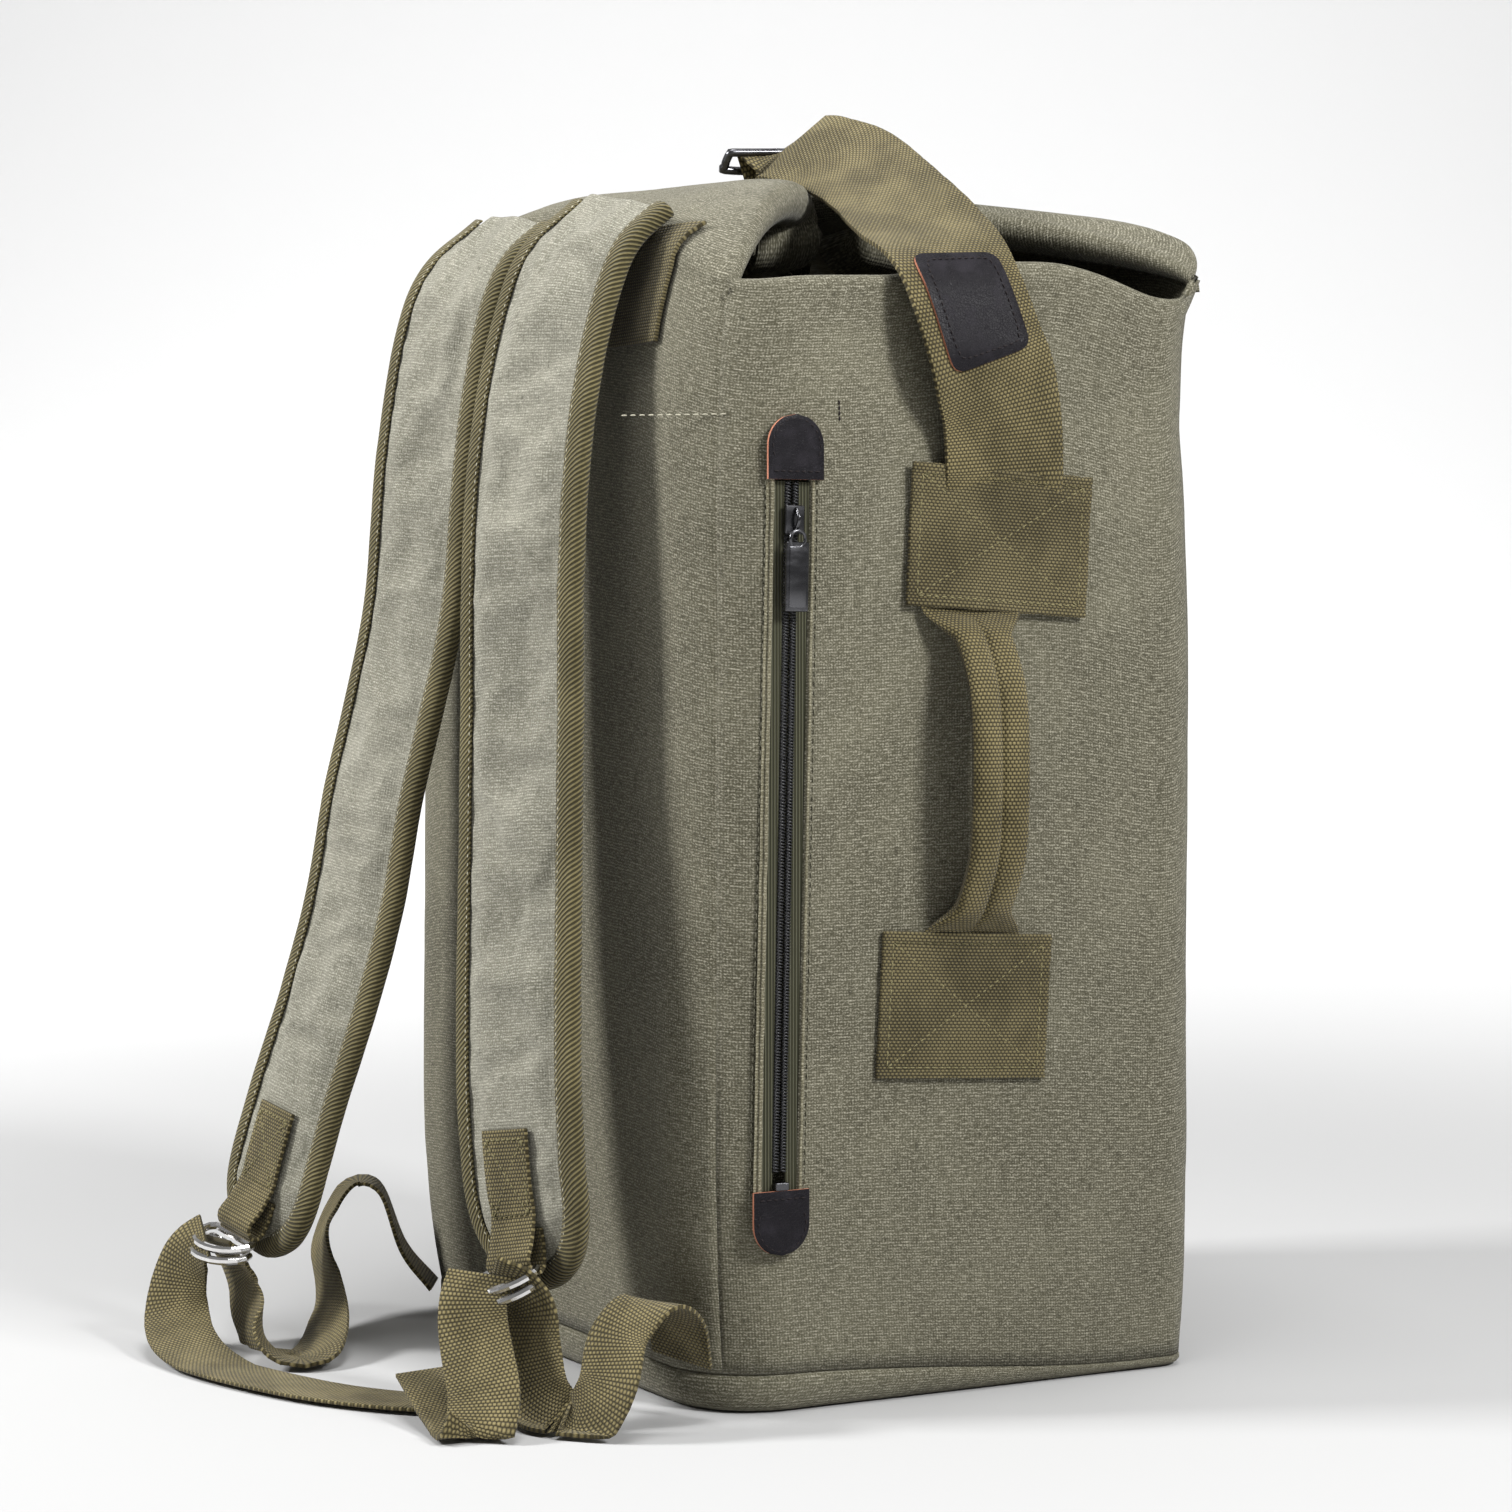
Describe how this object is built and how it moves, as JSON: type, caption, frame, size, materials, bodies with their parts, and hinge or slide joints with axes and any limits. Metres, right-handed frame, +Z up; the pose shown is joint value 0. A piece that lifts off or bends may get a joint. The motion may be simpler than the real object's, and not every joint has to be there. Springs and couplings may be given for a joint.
{
  "type": "duffel bag",
  "caption": "Upright canvas bucket duffel with folded strap-over mouth, side zip, webbing carry handle and padded shoulder straps ending in metal rings and loose webbing.",
  "frame": {"origin": "centre of the flat base, on the floor", "axes": "+Z up; the handle and zip are on the +X side; the shoulder straps hang outside the -Y side"},
  "size_m": [0.3361, 0.3919, 0.5439],
  "materials": {
    "canvas": "washed heavy canvas",
    "pad_canvas": "washed lighter canvas",
    "lining": "dark canvas facing",
    "webbing": "olive cotton webbing",
    "binding": "herringbone tape",
    "leather": "dark leather, raw cut edges",
    "foam": "padding",
    "zip_tape": "woven tape",
    "zip_coil": "moulded coil",
    "gunmetal": "dark plated metal",
    "chrome": "bright plated steel",
    "brass": "aged eyelets"
  },
  "bodies": {
    "bag": {"handle_side_panel": "canvas", "front_panel": "canvas", "plain_side_panel": "canvas", "back_panel": "canvas", "base_panel": "canvas", "mouth_fold_front": "canvas", "mouth_fold_back": "canvas", "base_lining_board": "lining", "mouth_facing_handle_side": "lining", "mouth_facing_plain_side": "lining", "mouth_leather_patch": "leather", "zip_leather_tab_top": "leather", "zip_leather_tab_bottom": "leather", "eyelet_back": "brass", "eyelet_front": "brass", "mouth_staple": "chrome", "zip_tape_left": "zip_tape", "zip_tape_right": "zip_tape", "zip_coil_left": "zip_coil", "zip_coil_right": "zip_coil", "zip_stop_bottom": "gunmetal", "handle_patch_top": "webbing", "handle_patch_bottom": "webbing", "strap_anchor_band": "webbing", "load_web_right": "webbing", "load_web_left": "webbing"},
    "handle": {"handle_grip": "webbing"},
    "zip_slider_body": {"zip_slider": "gunmetal", "zip_pull_bail": "gunmetal"},
    "zip_tab_body": {"zip_pull_tab": "gunmetal"},
    "closure_strap_body": {"closure_strap": "webbing", "strap_leather_patch": "leather", "hook_frame": "gunmetal", "hook_swivel": "chrome"},
    "hook": {"hook_body": "chrome"},
    "hook_gate_body": {"hook_gate": "chrome"},
    "right_strap": {"pad_core_right": "foam", "pad_face_right": "pad_canvas", "pad_lining_right": "canvas", "pad_binding_right": "binding", "ring_tab_right": "webbing", "tail_web_right": "webbing"},
    "left_strap": {"pad_core_left": "foam", "pad_face_left": "pad_canvas", "pad_lining_left": "canvas", "pad_binding_left": "binding", "ring_tab_left": "webbing", "tail_web_left": "webbing"},
    "right_rings": {"ring_upper_right": "chrome", "ring_lower_right": "chrome"},
    "left_rings": {"ring_upper_left": "chrome", "ring_lower_left": "chrome"}
  },
  "joints": [
    {"name": "handle_swing", "type": "hinge", "parent": "bag", "child": "handle", "pos_m": [0.1605, -0.001, 0.2555], "axis": [0, 0, 1], "range_deg": [-28, 28]},
    {"name": "zip_slide", "type": "slide", "parent": "bag", "child": "zip_slider_body", "axis": [0, 0.0209, 0.9998], "range_m": [-0.252, 0]},
    {"name": "zip_tab_lift", "type": "hinge", "parent": "zip_slider_body", "child": "zip_tab_body", "pos_m": [0.1586, -0.0828, 0.3524], "axis": [0, -0.9998, 0.0209], "range_deg": [0, 100]},
    {"name": "closure_strap_open", "type": "hinge", "parent": "bag", "child": "closure_strap_body", "pos_m": [0.1588, 0.02, 0.372], "axis": [0, 1, 0], "range_deg": [0, 110]},
    {"name": "hook_swivel_turn", "type": "hinge", "parent": "closure_strap_body", "child": "hook", "pos_m": [-0.0092, 0.0017, 0.5235], "axis": [0, 0, 1], "range_deg": [-90, 90]},
    {"name": "hook_gate_open", "type": "hinge", "parent": "hook", "child": "hook_gate_body", "pos_m": [-0.0092, -0.0015, 0.5105], "axis": [1, 0, 0], "range_deg": [0, 28], "stiffness_Nm_per_rad": 0.002, "springref_deg": -17.19},
    {"name": "right_strap_swing", "type": "hinge", "parent": "bag", "child": "right_strap", "pos_m": [0.058, -0.1085, 0.4875], "axis": [-1, 0, 0], "range_deg": [0, 25]},
    {"name": "left_strap_swing", "type": "hinge", "parent": "bag", "child": "left_strap", "pos_m": [-0.046, -0.1085, 0.4895], "axis": [-1, 0, 0], "range_deg": [0, 25], "deforming": ["tail_web_left"]},
    {"name": "right_rings_lift", "type": "hinge", "parent": "right_strap", "child": "right_rings", "pos_m": [0.09939, -0.17948, 0.05827], "axis": [-0.9636, -0.1792, -0.1984], "range_deg": [0, 20]},
    {"name": "left_rings_lift", "type": "hinge", "parent": "left_strap", "child": "left_rings", "pos_m": [-0.08639, -0.2263, 0.04906], "axis": [-0.984, -0.1188, 0.1326], "range_deg": [0, 20]}
  ]
}
